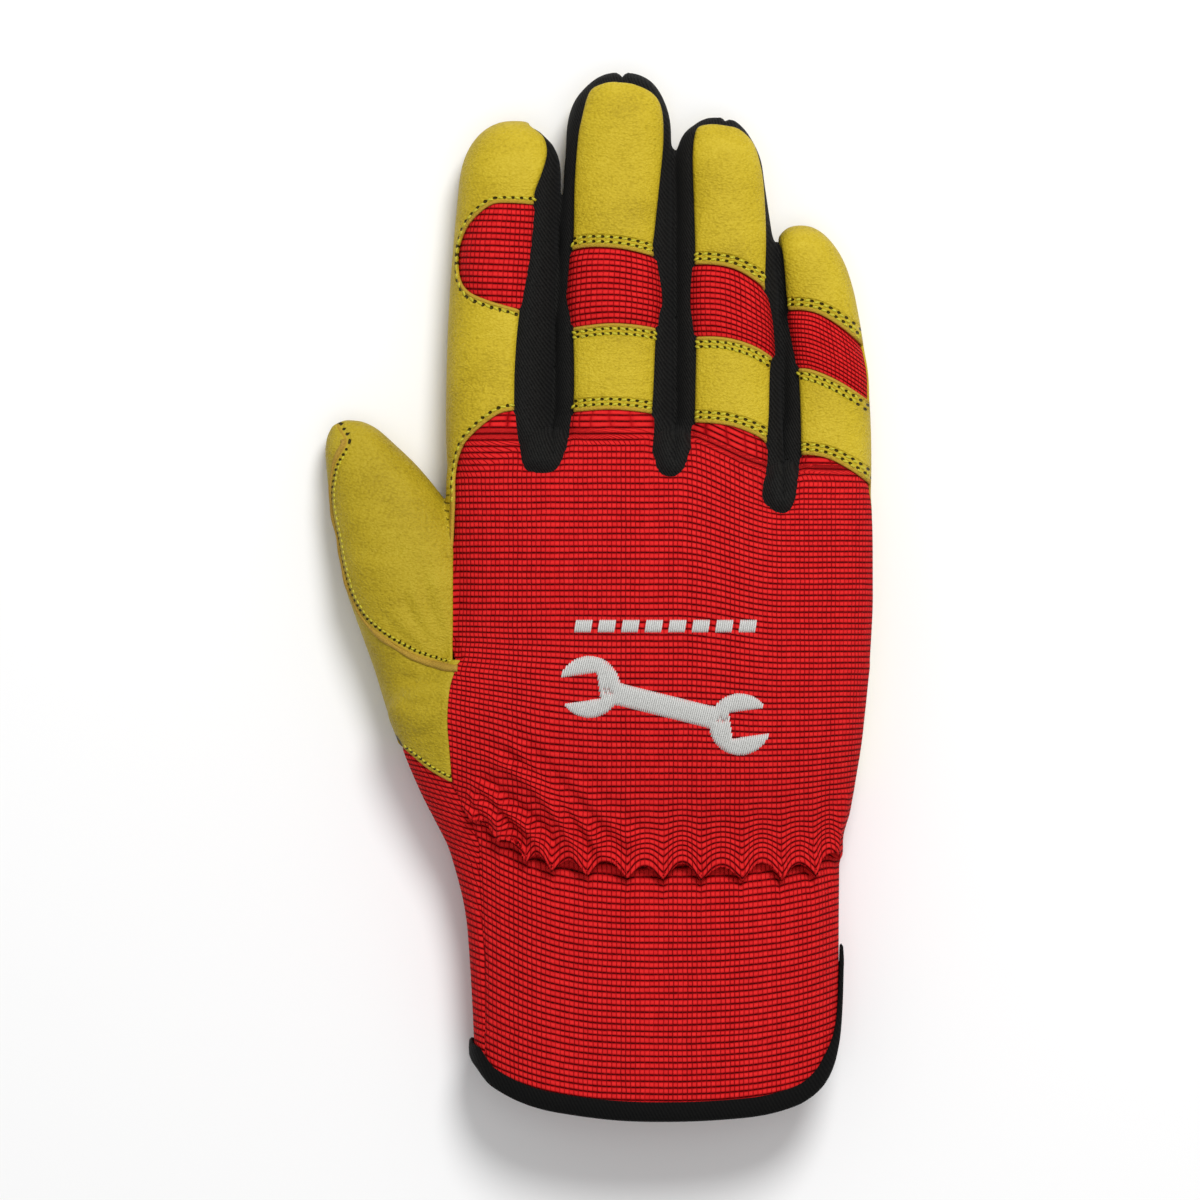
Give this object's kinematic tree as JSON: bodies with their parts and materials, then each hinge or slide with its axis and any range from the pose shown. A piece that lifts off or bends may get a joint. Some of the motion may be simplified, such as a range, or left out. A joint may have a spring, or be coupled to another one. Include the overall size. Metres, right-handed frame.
{
  "type": "mechanic glove",
  "caption": "Slip-on mechanic glove for the right hand: leather palm, thumb and fingertips, ribbed stretch back, elastic wrist and a bound cuff.",
  "frame": {"origin": "on the flat underside of the palm leather, in the middle of the hand, where the glove rests", "axes": "+Y along the middle finger to the fingertips, +X to the little finger, +Z out of the back of the hand"},
  "size_m": [0.1312, 0.2505, 0.0345],
  "materials": {
    "leather_yellow": "soft goatskin with a fine pebble grain, matt, yellow",
    "rib_fabric_red": "ribbed stretch fabric, ribs across the hand, matt, red",
    "stretch_fabric_black": "thin stretch twill, matt, black"
  },
  "bodies": {
    "root": {"fourchette_index_middle": "stretch_fabric_black", "fourchette_middle_ring": "stretch_fabric_black", "fourchette_ring_little": "stretch_fabric_black", "middle_tip_leather": "leather_yellow", "middle_insert": "rib_fabric_red", "middle_band_leather": "leather_yellow", "ring_tip_leather": "leather_yellow", "ring_insert": "rib_fabric_red", "ring_band_leather": "leather_yellow", "little_tip_leather": "leather_yellow", "little_insert": "rib_fabric_red", "little_band_leather": "leather_yellow", "thumb_back_leather": "leather_yellow", "thumb_front_leather": "leather_yellow", "palm_leather": "leather_yellow", "index_insert": "rib_fabric_red", "back_panel": "rib_fabric_red", "cuff_palm_panel": "rib_fabric_red", "hem_binding": "stretch_fabric_black"}
  },
  "joints": []
}
